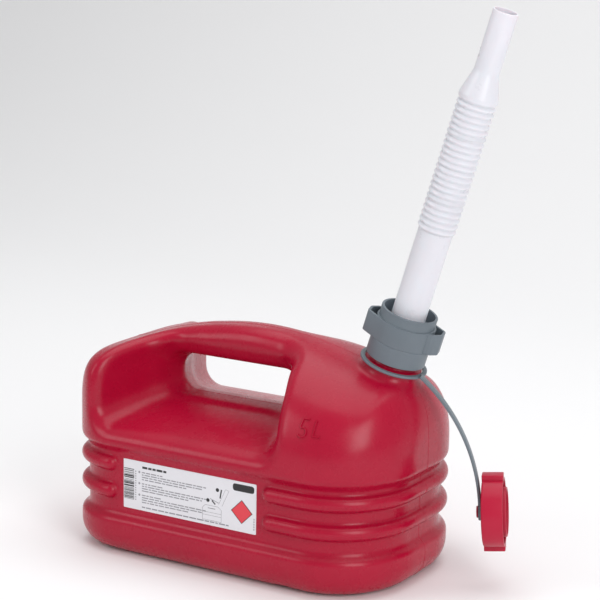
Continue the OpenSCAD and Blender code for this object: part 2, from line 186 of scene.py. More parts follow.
# ---------------------------------------------------------------- mesh tools
def make(name, verts, faces, materials, face_materials=None, matrix=None, smooth_angle=35.0):
    """A mesh object from points in millimetres, placed by matrix, with its normals outwards."""
    points = [Vector(v) for v in verts]
    if matrix is not None:
        points = [matrix @ v for v in points]
    mesh = bpy.data.meshes.new(name)
    mesh.from_pydata([v * MM for v in points], [], [list(map(int, f)) for f in faces])
    for m in materials:
        mesh.materials.append(m)
    if face_materials is not None:
        mesh.polygons.foreach_set("material_index", face_materials)
    bm = bmesh.new()
    bm.from_mesh(mesh)
    bmesh.ops.recalc_face_normals(bm, faces=bm.faces)
    bm.to_mesh(mesh)
    bm.free()
    mesh.polygons.foreach_set("use_smooth", [True] * len(mesh.polygons))
    mesh.set_sharp_from_angle(angle=math.radians(smooth_angle))
    obj = bpy.data.objects.new(name, mesh)
    bpy.context.scene.collection.objects.link(obj)
    return obj


class Parts:
    """Points and faces of several shells that become one object."""

    def __init__(self):
        self.verts, self.faces, self.which = [], [], []

    def add(self, verts, faces, which=0, matrix=None):
        n = len(self.verts)
        self.verts += [tuple(matrix @ Vector(v)) if matrix is not None else tuple(v) for v in verts]
        self.faces += [[n + i for i in f] for f in faces]
        self.which += [which] * len(faces)
        return self

    def make(self, name, materials, matrix=None, **more):
        return make(name, self.verts, self.faces, materials, self.which, matrix, **more)


def rectangle(x0, x1, y0, y1):
    return [(x0, y0), (x1, y0), (x1, y1), (x0, y1)]


def rounded(points, radius, steps=5):
    """A closed outline with each corner rounded. radius is one number or one per corner."""
    out, n = [], len(points)
    for i, p in enumerate(points):
        r = radius[i] if hasattr(radius, "__len__") else radius
        a, b, c = (np.array(points[j % n], float) for j in (i - 1, i, i + 1))
        u, v = a - b, c - b
        lu, lv = np.linalg.norm(u), np.linalg.norm(v)
        u, v = u / lu, v / lv
        half = math.acos(max(-1, min(1, float(u @ v)))) / 2
        if r <= 0 or half > math.radians(89) or half < math.radians(2):
            out.append(tuple(b))
            continue
        cut = min(r / math.tan(half), 0.48 * lu, 0.48 * lv)
        for k in range(steps + 1):
            s = k / steps
            out.append(tuple((1 - s) ** 2 * (b + u * cut) + 2 * s * (1 - s) * b + s * s * (b + v * cut)))
    return out


def loop_quads(n, loops, spans):
    """Quads from each of the first spans loops of n points to the next loop. The last joins the first."""
    return [(k * n + i, ((k + 1) % loops) * n + i, ((k + 1) % loops) * n + (i + 1) % n, k * n + (i + 1) % n)
            for k in range(spans) for i in range(n)]


def lathe(profile, segments=96):
    """A closed profile of (radius, height) turned round the axis."""
    n = len(profile)
    verts = [(r * math.cos(2 * math.pi * k / segments), r * math.sin(2 * math.pi * k / segments), z)
             for k in range(segments) for r, z in profile]
    return verts, loop_quads(n, segments, segments)


def sweep(path, outline, closed=False):
    """outline, points in (side, up), carried along path, rows of (point, side, up)."""
    n, m = len(outline), len(path)
    verts = [tuple(np.array(p) + a * np.array(s) + b * np.array(u)) for p, s, u in path for a, b in outline]
    faces = loop_quads(n, m, m if closed else m - 1)
    if not closed:
        faces += [list(range(n)), list(range((m - 1) * n, m * n))]
    return verts, faces


def helix(radius, depth, z0, z1, phase, width=2.2, per_turn=72):
    """A screw thread's ridge, depth outwards from radius (inwards if negative), that fades in and out."""
    turns = (z1 - z0) / THREAD_PITCH
    count = int(turns * per_turn)
    rows = []
    for k in range(count + 1):
        a = phase + 2 * math.pi * turns * k / count
        fade = min(1, k / 14, (count - k) / 14) * 0.96 + 0.04
        out = np.array((math.cos(a), math.sin(a), 0))
        at = out * radius + np.array((0, 0, z0 + (z1 - z0) * k / count))
        rows.append((at, out * fade, np.array((0, 0, fade))))
    sign = -0.3 if depth > 0 else 0.3
    return sweep(rows, [(sign, -width / 2), (depth, -width / 5), (depth, width / 5), (sign, width / 2)])


# ---------------------------------------------------------------- the tank's shape
def arc_rest(u, n):
    """A quarter of a superellipse: 1 at u = 0, falling to 0 at u = 1."""
    return (1 - np.clip(u, 0, 1) ** n) ** (1 / n)


def back_fall(dx):
    """How far the top falls in front of the crown: a parabola that runs on straight."""
    straight = CROWN_K * CROWN_L ** 2 + 2 * CROWN_K * CROWN_L * (dx - CROWN_L)
    return np.where(dx < CROWN_L, CROWN_K * dx ** 2, straight)


FRONT_TOP = float(TANK_H - back_fall(np.array(FRONT_X - CROWN_X)))
REAR_TOP = TANK_H - REAR_K * (CROWN_X - REAR_START) ** 2


def top_z(x):
    """Height of the tank's top in the middle plane."""
    x = np.asarray(x, float)
    rear = REAR_Z + (REAR_TOP - REAR_Z) * arc_rest((REAR_START - x) / (TANK_L / 2 + REAR_START), ROUND_N)
    front = FRONT_Z + (FRONT_TOP - FRONT_Z) * arc_rest((x - FRONT_X) / (TANK_L / 2 - FRONT_X), ROUND_N)
    back = np.where(x < CROWN_X, TANK_H - REAR_K * (CROWN_X - x) ** 2, TANK_H - back_fall(x - CROWN_X))
    return np.where(x < REAR_START, rear, np.where(x < FRONT_X, back, front))


def plan_w(x, inset):
    """Half the width in plan, as far inside the widest outline as inset says."""
    def corner(x, start, size):
        rx, ry = size
        across = np.maximum(0, 1 - (np.maximum(0, x - start) / (rx - inset)) ** 2)
        return TANK_W / 2 - ry + (ry - inset) * np.sqrt(across)

    return np.minimum(corner(x, TANK_L / 2 - SPOUT_CORNER[0], SPOUT_CORNER),
                      corner(-x, TANK_L / 2 - REAR_CORNER[0], REAR_CORNER))


def side_exponent(x):
    """How square the shoulders are: squarer at the rear, more peaked just in front of the hand hole."""
    rear = np.clip((REAR_N_X[0] - x) / (REAR_N_X[0] - REAR_N_X[1]), 0, 1)
    peak = np.exp(-((x - 26) / 24) ** 2)
    return SIDE_N + (REAR_N - SIDE_N) * rear - 0.35 * peak


def end_x(z, inset):
    """Rear and front limits of the level section at each height."""
    z = np.asarray(z, float)
    crown = TANK_H - z
    rear_round = arc_rest((z - REAR_Z) / (REAR_TOP - REAR_Z), ROUND_N)
    rear = np.where(z <= REAR_Z, -TANK_L / 2, np.where(
        z < REAR_TOP, REAR_START - (TANK_L / 2 + REAR_START) * rear_round,
        CROWN_X - np.sqrt(np.maximum(crown, 0) / REAR_K)))
    knee = CROWN_K * CROWN_L ** 2
    run = np.where(crown < knee, np.sqrt(np.maximum(crown, 0) / CROWN_K),
                   CROWN_L + (crown - knee) / (2 * CROWN_K * CROWN_L))
    front_round = arc_rest((z - FRONT_Z) / (FRONT_TOP - FRONT_Z), ROUND_N)
    front = np.where(z <= FRONT_Z, TANK_L / 2, np.where(
        z < FRONT_TOP, FRONT_X + (TANK_L / 2 - FRONT_X) * front_round, CROWN_X + run))
    return rear + inset, front - inset


def soft_step(z, z0, z1):
    t = np.clip((z - z0) / (z1 - z0), 0, 1)
    return t * t * (3 - 2 * t)


def band_inset(z):
    """How far the walls stand behind the widest outline: the ribbed band, and the rounded bottom edge."""
    band = BAND_DEPTH * soft_step(z, 28.5, 34) * (1 - soft_step(z, 82, 90))
    u = np.clip(1 - z / BOTTOM_R, 0, 1)
    return band + BOTTOM_R * (1 - np.sqrt(1 - u ** 2))


def blank_rings(points=150):
    """The tank without its hand hole and ribs, as level rings."""
    bottom = BOTTOM_R * (1 - np.cos(np.radians(np.arange(0, 90, 7.5))))
    shoulder = SHOULDER_Z + (TANK_H - 0.02 - SHOULDER_Z) * np.sin(np.radians(np.arange(0, 90.1, 2)))
    heights = np.concatenate([bottom, np.arange(20, 28, 2), np.arange(28, 35, 0.75), np.arange(36, 82, 4),
                              np.arange(82, 91, 0.75), np.arange(92, SHOULDER_Z, 2), shoulder])
    rings = []
    spread = np.cos(np.pi * (np.arange(points) + 0.5) / points)
    for z in heights:
        inset = float(band_inset(z))
        x0, x1 = end_x(z, inset)
        xs = (x0 + x1) / 2 + (x1 - x0) / 2 * spread
        over = np.clip((z - SHOULDER_Z) / (np.maximum(top_z(xs), SHOULDER_Z + 1) - SHOULDER_Z), 0, 1)
        w = np.maximum(0.02, plan_w(xs, inset) * arc_rest(over, side_exponent(xs)))
        rings.append(np.concatenate([np.column_stack([xs, w, np.full(points, z)]),
                                     np.column_stack([xs, -w, np.full(points, z)])[::-1]]))
    return rings


def section(x0, x1, z0, z1, r, y, steps=8):
    """A rounded upright rectangle at y, as a ring of points."""
    r = min(r, (z1 - z0) / 2 - 0.01, (x1 - x0) / 2 - 0.01)
    ring = []
    for q in range(4):
        cx, cz = (x1 - r if q in (0, 3) else x0 + r), (z1 - r if q < 2 else z0 + r)
        for t in range(steps + 1):
            a = math.radians(90 * q + 90 * t / steps)
            ring.append((cx + r * math.cos(a), y, cz + r * math.sin(a)))
    return np.array(ring)


def saddle(a):
    """Floor of the hand hole at a distance from the middle plane. It drops towards the sides."""
    return SADDLE_Z - SCOOP_DROP * (a / (TANK_W / 2)) ** SCOOP_N


def grip_under(a):
    """Underside of the handle, rounded across."""
    half = GRIP_W / 2
    return GRIP_Z + 8 * (1 - math.sqrt(max(0, 1 - (min(a, half) / half) ** 2)))


def tunnel_rings():
    """The hand's way under the handle, from side to side."""
    return [section(HOLE_X0 - FLARE_REAR * abs(y), HOLE_X1 + FLARE_FRONT * abs(y), saddle(abs(y)),
                    grip_under(abs(y)), HOLE_CORNER, y) for y in np.linspace(-HAND_REACH, HAND_REACH, 121)]


def pocket_rings(side):
    """The scoop beside the handle, open upwards, whose ends round into the handle."""
    half, fillet, rings = GRIP_W / 2, HANDLE_FILLET, []
    for a in np.concatenate([half + fillet * (1 - np.cos(np.linspace(0.02, math.pi / 2, 14))),
                             np.linspace(half + fillet + 3, HAND_REACH, 18)]):
        near = max(0.0, (half + fillet - a) / fillet)
        tuck = fillet * (1 - math.sqrt(max(0, 1 - near ** 2)))
        rings.append(section(HOLE_X0 - FLARE_REAR * a + tuck, HOLE_X1 + FLARE_FRONT * a - tuck,
                             saddle(a), TANK_H + 25, HOLE_CORNER, side * a))
    return rings


# ---------------------------------------------------------------- distance fields
CELL = 1.25
LOW, HIGH = np.array((-150.0, -95.0, -10.0)), np.array((150.0, 95.0, 200.0))
CELLS = np.ceil((HIGH - LOW) / CELL).astype(int)
REACH = 18.0
GRID = openvdb.createLinearTransform(voxelSize=CELL)
AXES = [(np.arange(n) + round(lo / CELL)) * CELL for n, lo in zip(CELLS, LOW)]
GX, GY, GZ = np.meshgrid(*AXES, indexing="ij", sparse=True)
CORNER = tuple(int(round(lo / CELL)) for lo in LOW)


def distance(rings):
    """The signed distance, negative inside, to a skin through equal rings of points."""
    n, m = len(rings[0]), len(rings)
    points = np.concatenate(rings).astype(np.float32)
    i, k = (a.ravel() for a in np.meshgrid(np.arange(m - 1), np.arange(n), indexing="ij"))
    quads = np.column_stack([i * n + k, (i + 1) * n + k, (i + 1) * n + (k + 1) % n, i * n + (k + 1) % n])
    triangles = [[base, base + j, base + j + 1] for base in (0, (m - 1) * n) for j in range(1, n - 1)]
    grid = openvdb.FloatGrid.createLevelSetFromPolygons(
        points, np.array(triangles, np.uint32), quads.astype(np.uint32), GRID,
        exBandWidth=REACH / CELL, inBandWidth=REACH / CELL)
    field = np.empty(tuple(CELLS), np.float32)
    grid.copyToArray(field, ijk=CORNER)
    return field


def both(a, b, r):
    """Where a and b overlap, with the edge between them rounded to radius r."""
    return np.minimum(np.maximum(a, b), -r) + np.hypot(np.maximum(a + r, 0), np.maximum(b + r, 0))


def either(a, b, r):
    """a and b together, with the corner between them filled to radius r."""
    return -both(-a, -b, r)


def blurred(field, sigma):
    """The field after a Gaussian blur, with sigma in cells."""
    reach = int(math.ceil(3 * sigma))
    weights = np.exp(-0.5 * (np.arange(-reach, reach + 1) / sigma) ** 2)
    weights = (weights / weights.sum()).astype(np.float32)
    for axis in range(3):
        padded = np.pad(field, [(reach, reach) if a == axis else (0, 0) for a in range(3)], mode="edge")
        field = sum(w * np.take(padded, np.arange(k, k + CELLS[axis]), axis=axis)
                    for k, w in enumerate(weights))
    return field


def plan_distance():
    """Distance in plan to the widest outline, on the grid, negative inside."""
    xs = TANK_L / 2 * np.cos(np.linspace(0, np.pi, 700))
    outline = np.column_stack([xs, plan_w(xs, 0.0)])
    outline = np.vstack([(TANK_L / 2, 0), outline, (-TANK_L / 2, 0)])  # the flat front and rear
    gx, gy = np.meshgrid(AXES[0], np.abs(AXES[1]), indexing="ij")
    points = np.column_stack([gx.ravel(), gy.ravel()])
    start, step = outline[:-1], np.diff(outline, axis=0)
    best = np.full(len(points), 1e9)
    for s, d in zip(start, step):
        t = np.clip(((points - s) @ d) / max(float(d @ d), 1e-12), 0, 1)
        best = np.minimum(best, np.hypot(*(points - s - t[:, None] * d).T))
    width = plan_w(np.clip(points[:, 0], -TANK_L / 2, TANK_L / 2), 0.0)
    inside = (np.abs(points[:, 0]) < TANK_L / 2) & (points[:, 1] < width)
    return np.where(inside, -best, best).reshape(gx.shape + (1,)).astype(np.float32)


def ribs(plan):
    """Half-round ribs in the band. They stop with round ends on both sides of the two label panels."""
    beside = np.maximum(0, np.minimum(GX - PANEL[0], PANEL[1] - GX)) / RIB_HALF_H
    depth = (plan + BAND_DEPTH) / (BAND_DEPTH + 0.1)
    found = None
    for z in RIBS_Z:
        across = np.sqrt(((GZ - z) / RIB_HALF_H) ** 2 + beside ** 2)
        rib = (np.hypot(depth, across) - 1) * 5.5
        found = rib if found is None else np.minimum(found, rib)
    return np.minimum(found, REACH).astype(np.float32)


def neck_frame():
    """Radius from the neck's axis and height on it, on the grid."""
    s, c = math.sin(neck_lean), math.cos(neck_lean)
    along = (GX - NECK_X) * s + (GZ - NECK_Z) * c
    out = np.sqrt(((GX - NECK_X) * c - (GZ - NECK_Z) * s) ** 2 + GY ** 2)
    return out, along


def tank_field():
    """The whole tank as one signed distance field."""
    hand = distance(tunnel_rings())
    for side in (1, -1):
        hand = either(hand, distance(pocket_rings(side)), SCOOP_CORNER)
    tank = both(distance(blank_rings()), -hand, HAND_EDGE)
    tank = blurred(tank, SOFTENING / CELL)
    for x in CHANNELS_X:
        channel = np.hypot(np.maximum(np.abs(GX - x) - 1, 0), GZ + CHANNEL_DROP) - CHANNEL_R + 0 * GY
        tank = both(tank, -channel, 1.5)
    tank = either(tank, ribs(plan_distance()), RIB_FILLET)
    out, along = neck_frame()
    boss = both(out - BOSS_R, np.maximum(along - GROOVE_Z, -BOSS_DEPTH - along), 0.6)
    tank = either(tank, boss, BOSS_FILLET)
    tank = either(tank, both(out - GROOVE_R, np.maximum(along - BOSS_TOP, -10 - along), 0.5), 0.3)
    bore = np.maximum(out - BORE_R, -BORE_DEPTH - along)
    return both(tank, -bore, 0.3)


def sampled(field, points):
    """The field and its slope at points, by cells."""
    at = (points - np.array(CORNER) * CELL) / CELL
    low = np.clip(np.floor(at).astype(int), 0, CELLS - 2)
    f = at - low
    value, slope = np.zeros(len(points)), np.zeros((len(points), 3))
    for corner in np.ndindex(2, 2, 2):
        c = np.array(corner)
        w = np.where(c, f, 1 - f)
        v = field[tuple((low + c).T)]
        value += w.prod(1) * v
        for a in range(3):
            others = [b for b in range(3) if b != a]
            slope[:, a] += (1 if c[a] else -1) * w[:, others].prod(1) * v / CELL
    return value, slope


def skin_of(field):
    """Points and quads of the surface where the field is zero, with each point moved onto it."""
    grid = openvdb.FloatGrid(REACH)
    grid.transform = GRID
    grid.copyFromArray(field.astype(np.float32), ijk=CORNER)
    points, quads = grid.convertToQuads(0.0)
    points = points.astype(float)
    for _ in range(3):
        value, slope = sampled(field, points)
        size = np.maximum((slope ** 2).sum(1), 1e-6)
        points -= (np.clip(value, -1, 1) / size * (size > 0.05))[:, None] * slope
    return points, quads


field = tank_field()
points, quads = skin_of(field)
tank = make("tank_shell", points, quads, [RED], smooth_angle=180)
gradient = blurred(field, 0.9)
_, slope = sampled(gradient, points)
slope /= np.maximum(np.linalg.norm(slope, axis=1), 1e-9)[:, None]
tank.data.normals_split_custom_set_from_vertices([tuple(n) for n in slope])
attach(tank, "tank")
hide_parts("tank")
skin = BVHTree.FromPolygons([tuple(p) for p in points], [tuple(map(int, q)) for q in quads])


# ---------------------------------------------------------------- the mould line
def seam_path(centre, angles, from_outside):
    """Points where the y = 0 plane meets the skin, seen from centre, with their outward directions."""
    rows = []
    for a in angles:
        d = Vector((math.cos(a), 0.0, math.sin(a)))
        start = Vector(centre) + d * 320 if from_outside else Vector(centre)
        hit, normal, _, _ = skin.ray_cast(start, -d if from_outside else d)
        if hit is None:
            rows.append(None)
            continue
        along = (hit.x - NECK_X) * math.sin(neck_lean) + (hit.z - NECK_Z) * math.cos(neck_lean)
        out = abs((hit.x - NECK_X) * math.cos(neck_lean) - (hit.z - NECK_Z) * math.sin(neck_lean))
        skipped = (out < BOSS_R + 1.5 and along > -22) or hit.z < 1.0
        rows.append(None if skipped else (hit, normal))
    return rows


def seam(parts, rows):
    """A low ridge where the two halves of the mould met."""
    run = []
    for row in rows + [None]:
        if row is not None and (not run or (row[0] - run[-1][0]).length < 9):
            run.append(row)
            continue
        if len(run) > 4:
            path = []
            for k, (p, _) in enumerate(run):
                ahead = (run[min(k + 1, len(run) - 1)][0] - run[max(k - 1, 0)][0]).normalized()
                up = Vector((0, 1, 0)).cross(ahead)
                normal = run[k][1]
                up = up if up.dot(normal) > 0 else -up
                path.append((np.array(p), np.array((0.0, 1.0, 0.0)), np.array(up)))
            ridge = [(-0.55, -0.5), (-0.5, 0.02), (-0.2, 0.2), (0.2, 0.2), (0.5, 0.02), (0.55, -0.5)]
            parts.add(*sweep(path, ridge))
        run = [row] if row is not None else []


seams = Parts()
seam(seams, seam_path((0, 0, 95), np.linspace(-math.pi / 2, 1.5 * math.pi, 900), True))
seam(seams, seam_path((-26, 0, 134), np.linspace(0, 2 * math.pi, 300), False))
mould_line = seams.make("tank_mould_line", [RED], smooth_angle=60)
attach(mould_line, "tank")


# ---------------------------------------------------------------- the moulded capacity mark
def stroke_path(points, step=0.35):
    out = []
    for (x0, z0), (x1, z1) in zip(points, points[1:]):
        n = max(1, int(math.hypot(x1 - x0, z1 - z0) / step))
        out += [(x0 + (x1 - x0) * k / n, z0 + (z1 - z0) * k / n) for k in range(n)]
    return out + [points[-1]]


def mark(parts, points):
    """A raised stroke on the spout side wall. points are (x, z), and the skin gives y."""
    rows, stroke = [], stroke_path(points)
    for k, (x, z) in enumerate(stroke):
        hit, normal, _, _ = skin.ray_cast(Vector((x, -200, z)), Vector((0, 1, 0)))
        ax, az = stroke[max(k - 1, 0)]
        bx, bz = stroke[min(k + 1, len(stroke) - 1)]
        ahead = Vector((bx - ax, 0, bz - az)).normalized()
        side = ahead.cross(normal).normalized()
        rows.append((np.array(hit), np.array(side), np.array(normal)))
    half = MARK_W / 2
    parts.add(*sweep(rows, [(-half, -0.4), (-half * 0.9, MARK_H * 0.4), (-half * 0.45, MARK_H),
                            (half * 0.45, MARK_H), (half * 0.9, MARK_H * 0.4), (half, -0.4)]))


marks = Parts()
bowl = [(77.6 + 3.4 * math.sin(a), 125.2 - 3.2 * math.cos(a)) for a in np.linspace(-0.95, 3.5, 16)]
mark(marks, [(81.2, 134.2), (76.2, 134.2), (75.6, 129.4), (76.4, 128.2)])
mark(marks, bowl)
mark(marks, [(86.6, 134.0), (86.6, 123.4), (91.8, 123.4)])
capacity = marks.make("tank_capacity_mark", [RED], smooth_angle=50)
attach(capacity, "tank")

# ---------------------------------------------------------------- the neck and its thread
neck = Parts()
neck.add(*lathe(rounded([(NECK_R - 1.3, -6), (NECK_R - 1.3, NECK_RIM), (BORE_R, NECK_RIM), (BORE_R, -6)],
                        [0, 0.5, 0.5, 0])))
neck.add(*helix(NECK_R - 1.3, 1.2, 4.0, 18.5, 0.0))
neck = neck.make("tank_neck", [RED], NECK)
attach(neck, "tank")
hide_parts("neck")


# ---------------------------------------------------------------- the label
def slab(outline, y0, y1):
    n = len(outline)
    verts = [(x, y, z) for y in (y0, y1) for x, z in outline]
    rim = [(k, (k + 1) % n, n + (k + 1) % n, n + k) for k in range(n)]
    return verts, [list(range(n)), list(range(n, 2 * n))] + rim


PAPER, DARK_INK, GREY_INK, RED_INK = range(4)  # the label's materials
LABEL_BACK = -(TANK_W / 2 - BAND_DEPTH) - 0.02
LABEL_FRONT = LABEL_BACK - 0.3
PRINT_Y = LABEL_FRONT - 0.03


def label_xz(u, v):
    """A place on the label, u from its rear end and v down from its top, both from 0 to 1."""
    return LABEL_X + u * LABEL_L, LABEL_Z + LABEL_H * (1 - v)


def printed(parts, outline, which, y=PRINT_Y):
    parts.add(*slab(outline, LABEL_FRONT + 0.01, y), which)


def bar(parts, u0, u1, v, height, which, radius=0.0):
    (x0, z), (x1, _) = label_xz(u0, v), label_xz(u1, v)
    outline = rectangle(x0, x1, z - height / 2, z + height / 2)
    printed(parts, rounded(outline, radius, 6) if radius else outline, which)


def line(parts, a, b, width, which):
    (x0, z0), (x1, z1) = label_xz(*a), label_xz(*b)
    d = np.array((x1 - x0, z1 - z0))
    dx, dz = np.array((-d[1], d[0])) / np.linalg.norm(d) * width / 2
    printed(parts, [(x0 + dx, z0 + dz), (x1 + dx, z1 + dz), (x1 - dx, z1 - dz), (x0 - dx, z0 - dz)], which)


def disc(parts, u, v, r, which):
    x, z = label_xz(u, v)
    angles = np.linspace(0, 2 * math.pi, 24)[:-1]
    printed(parts, [(x + r * math.cos(a), z + r * math.sin(a)) for a in angles], which)


def diamond(parts, half_u, half_v, which, y):
    u, v = 0.895, 0.60
    points = ((u, v - half_v), (u + half_u, v), (u, v + half_v), (u - half_u, v))
    printed(parts, [label_xz(*p) for p in points], which, y)


def text_row(parts, rng, u0, u1, v, height, which):
    """A row of short bars that stands for a line of small print and says nothing."""
    u = u0
    while u < u1 - 0.012:
        end = min(u1, u + rng.uniform(0.012, 0.052))
        bar(parts, u, end, v, height, which)
        u = end + 0.007


label = Parts()
corners = rectangle(LABEL_X, LABEL_X + LABEL_L, LABEL_Z, LABEL_Z + LABEL_H)
label.add(*slab(rounded(corners, 0.8), LABEL_BACK, LABEL_FRONT), PAPER)
rng = random.Random(5)
v = 0.19
while v < 0.82:                      # bar code, turned on its side
    thick = rng.choice((0.3, 0.3, 0.6, 0.9)) / LABEL_H
    bar(label, 0.004, 0.082, v, thick * LABEL_H, DARK_INK)
    v += thick + rng.choice((0.35, 0.35, 0.7)) / LABEL_H
for k in range(13):
    bar(label, 0.090, 0.098, 0.22 + 0.048 * k, 0.9, GREY_INK)
text_row(label, rng, 0.145, 0.33, 0.115, 1.7, DARK_INK)
for block_top in (0.22, 0.45, 0.685):
    disc(label, 0.122, block_top, 0.9, GREY_INK)
    for k, row_end in enumerate((0.30, 0.63, 0.60, 0.50)):
        text_row(label, rng, 0.142, row_end, block_top + 0.048 * k, 0.85, GREY_INK)
text_row(label, rng, 0.142, 0.80, 0.93, 1.0, GREY_INK)
can = [(0.605, 0.90), (0.605, 0.66), (0.625, 0.60), (0.72, 0.60), (0.745, 0.66), (0.745, 0.90), (0.605, 0.90)]
for a, b in zip(can, can[1:]):
    line(label, a, b, 0.28, GREY_INK)
for height in (0.74, 0.80):
    line(label, (0.605, height), (0.745, height), 0.25, GREY_INK)
line(label, (0.645, 0.655), (0.70, 0.655), 0.6, GREY_INK)
line(label, (0.725, 0.55), (0.775, 0.22), 0.25, GREY_INK)
line(label, (0.75, 0.57), (0.80, 0.24), 0.25, GREY_INK)
line(label, (0.775, 0.22), (0.80, 0.24), 0.25, GREY_INK)
line(label, (0.725, 0.52), (0.66, 0.46), 0.5, GREY_INK)
disc(label, 0.645, 0.50, 1.5, DARK_INK)
disc(label, 0.715, 0.26, 1.5, DARK_INK)
line(label, (0.675, 0.49), (0.70, 0.56), 1.1, DARK_INK)
line(label, (0.745, 0.24), (0.735, 0.42), 1.1, DARK_INK)
bar(label, 0.828, 0.985, 0.125, 5.6, DARK_INK, 2.4)
diamond(label, 0.079, 0.24, DARK_INK, PRINT_Y)
diamond(label, 0.073, 0.222, RED_INK, PRINT_Y - 0.03)
for k in range(5):
    bar(label, 0.982, 0.989, 0.70 + 0.05 * k, 1.3, GREY_INK)
label = label.make("label_film", [FILM, INK, INK_GREY, INK_RED], smooth_angle=20)
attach(label, "tank")
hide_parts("label")

# ---------------------------------------------------------------- the collar
groove = 0.35
barrel = rounded([
    (COLLAR_R, COLLAR_Z), (COLLAR_R, BAND_Z[0] - 0.5), (COLLAR_R - groove, BAND_Z[0]),
    (COLLAR_R, BAND_Z[0] + 0.5), (COLLAR_R, BAND_Z[1]), (COLLAR_TOP_R, BAND_Z[1]), (COLLAR_TOP_R, COLLAR_TOP),
    (COLLAR_TOP_R - COLLAR_WALL, COLLAR_TOP), (COLLAR_TOP_R - COLLAR_WALL, WEB_Z[1]),
    (SPOUT_R + 0.6, WEB_Z[1]), (SPOUT_R + 0.6, WEB_Z[0]), (SLEEVE_R, WEB_Z[0]), (SLEEVE_R, COLLAR_Z + 5),
    (SLEEVE_R + COLLAR_WALL, COLLAR_Z + 5), (SLEEVE_R + COLLAR_WALL, WEB_Z[0]),
    (COLLAR_R - COLLAR_WALL, WEB_Z[0]), (COLLAR_R - COLLAR_WALL, COLLAR_Z)],
    [0.5, 0.1, 0.1, 0.1, 0.5, 0.3, 0.6, 0.6, 1.2, 0.3, 0.3, 0, 0.2, 0.2, 0.3, 0.3, 0.4], 4)


def wing_rows():
    """The wing's wall in plan, from its run off the barrel, round the tip, and back through a hollow."""
    reach, tip = WING_REACH - COLLAR_WALL / 2, WING_TIP / 2 - COLLAR_WALL / 2
    r = COLLAR_R - COLLAR_WALL / 2
    tangent = math.acos(r / math.hypot(reach, tip)) + math.atan2(tip, reach)
    run_off = [(r * math.cos(a), r * math.sin(a)) for a in (tangent + 0.12, tangent)]
    corners = run_off + [(reach + 0.2, tip + 0.6), (reach, -tip), (24.2, -9.2), (21.9, -10.4), (19.2, -11.0)]
    line = rounded(corners, [0, 3, 3.2, 2.6, 5, 2, 0], 8)
    first = min(range(len(line)), key=lambda i: math.dist(line[i], corners[0]))
    line = line[first:] + line[:first]
    rows = []
    for k, p in enumerate(line):
        a, b = np.array(line[max(k - 1, 0)]), np.array(line[min(k + 1, len(line) - 1)])
        d = (b - a) / max(np.linalg.norm(b - a), 1e-9)
        at = np.array((*p, (BAND_Z[0] + BAND_Z[1]) / 2))
        rows.append((at, np.array((-d[1], d[0], 0)), np.array((0, 0, 1.0))))
    return rows


half_w, half_h = COLLAR_WALL / 2, (BAND_Z[1] - BAND_Z[0]) / 2
wall_outline = rounded(rectangle(-half_w, half_w, -half_h, half_h), 0.45, 3)
collar = Parts().add(*lathe(barrel, 144))
for side in (0, 180):
    turn = Matrix.Rotation(math.radians(WING_TURN + side), 4, "Z")
    collar.add(*sweep(wing_rows(), wall_outline), matrix=turn)
collar.add(*helix(SLEEVE_R, -1.0, 8.0, 22.5, math.pi * 1.333))
collar = collar.make("collar_nut", [GREY], NECK, smooth_angle=32)
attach(collar, "collar")
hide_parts("collar")


# ---------------------------------------------------------------- the spout
def tube(name, outer, matrix, segments=96):
    """A tube whose outer wall follows outer, rows of (radius, height), with the spout's wall inside it."""
    inner = [(r - SPOUT_WALL, z) for r, z in reversed(outer)]
    return make(name, *lathe(outer + inner, segments), [MILK], matrix=matrix, smooth_angle=50)


flange_r = NECK_R - 0.3
flange_top, bore_r = FLANGE_Z + FLANGE_T, SPOUT_R - SPOUT_WALL
foot = rounded([(flange_r, FLANGE_Z), (flange_r, flange_top), (SPOUT_R, flange_top), (SPOUT_R, BELLOWS_Z),
                (bore_r, BELLOWS_Z), (bore_r, FLANGE_Z)], [0.4, 0.4, 0.4, 0, 0, 0.3])
base = make("spout_base_tube", *lathe(foot), [MILK], matrix=NECK, smooth_angle=50)
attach(base, "spout")
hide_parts("spout_base")

PITCH = BELLOWS_L / FOLDS


def fold(z):
    """Outer radius of the bellows at a height over its lower end: rounded folds with tighter valleys."""
    wave = 0.5 - 0.5 * math.cos(2 * math.pi * z / PITCH)
    return FOLD_R - FOLD_DEPTH + FOLD_DEPTH * wave ** 0.8


CELL_L = BELLOWS_L / 4
STEPS = 66
for k in range(4):
    z0 = k * CELL_L
    wall = [(fold(z0 + CELL_L * i / STEPS), BELLOWS_Z + z0 + CELL_L * i / STEPS) for i in range(STEPS + 1)]
    piece = tube(f"spout_folds_{k + 1}", wall, NECK)
    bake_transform(piece)
    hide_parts(*([f"bellows_{k + 1}", "bellows_5"] if k == 3 else [f"bellows_{k + 1}"]))

top = BELLOWS_Z + BELLOWS_L
tip = top + CONE_L + NOZZLE_L
outside = [(FOLD_R - FOLD_DEPTH, top), (FOLD_R, top + 2), (FOLD_R, top + 5), (NOZZLE_R, top + CONE_L),
           (NOZZLE_R, tip)]
inside = [(r - SPOUT_WALL, z) for r, z in reversed(outside)]
run = rounded(outside + inside, [0, 0.8, 3, 12, 0.3, 0.3, 12, 3, 0.8, 0], 8)
nozzle = make("spout_nozzle_end", *lathe(run), [MILK], matrix=NECK, smooth_angle=50)
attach(nozzle, "nozzle")
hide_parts("spout_nozzle")

# ---------------------------------------------------------------- the strap
band = rounded(rectangle(-STRAP_T / 2, STRAP_T / 2, -STRAP_W / 2, STRAP_W / 2), 0.55, 4)


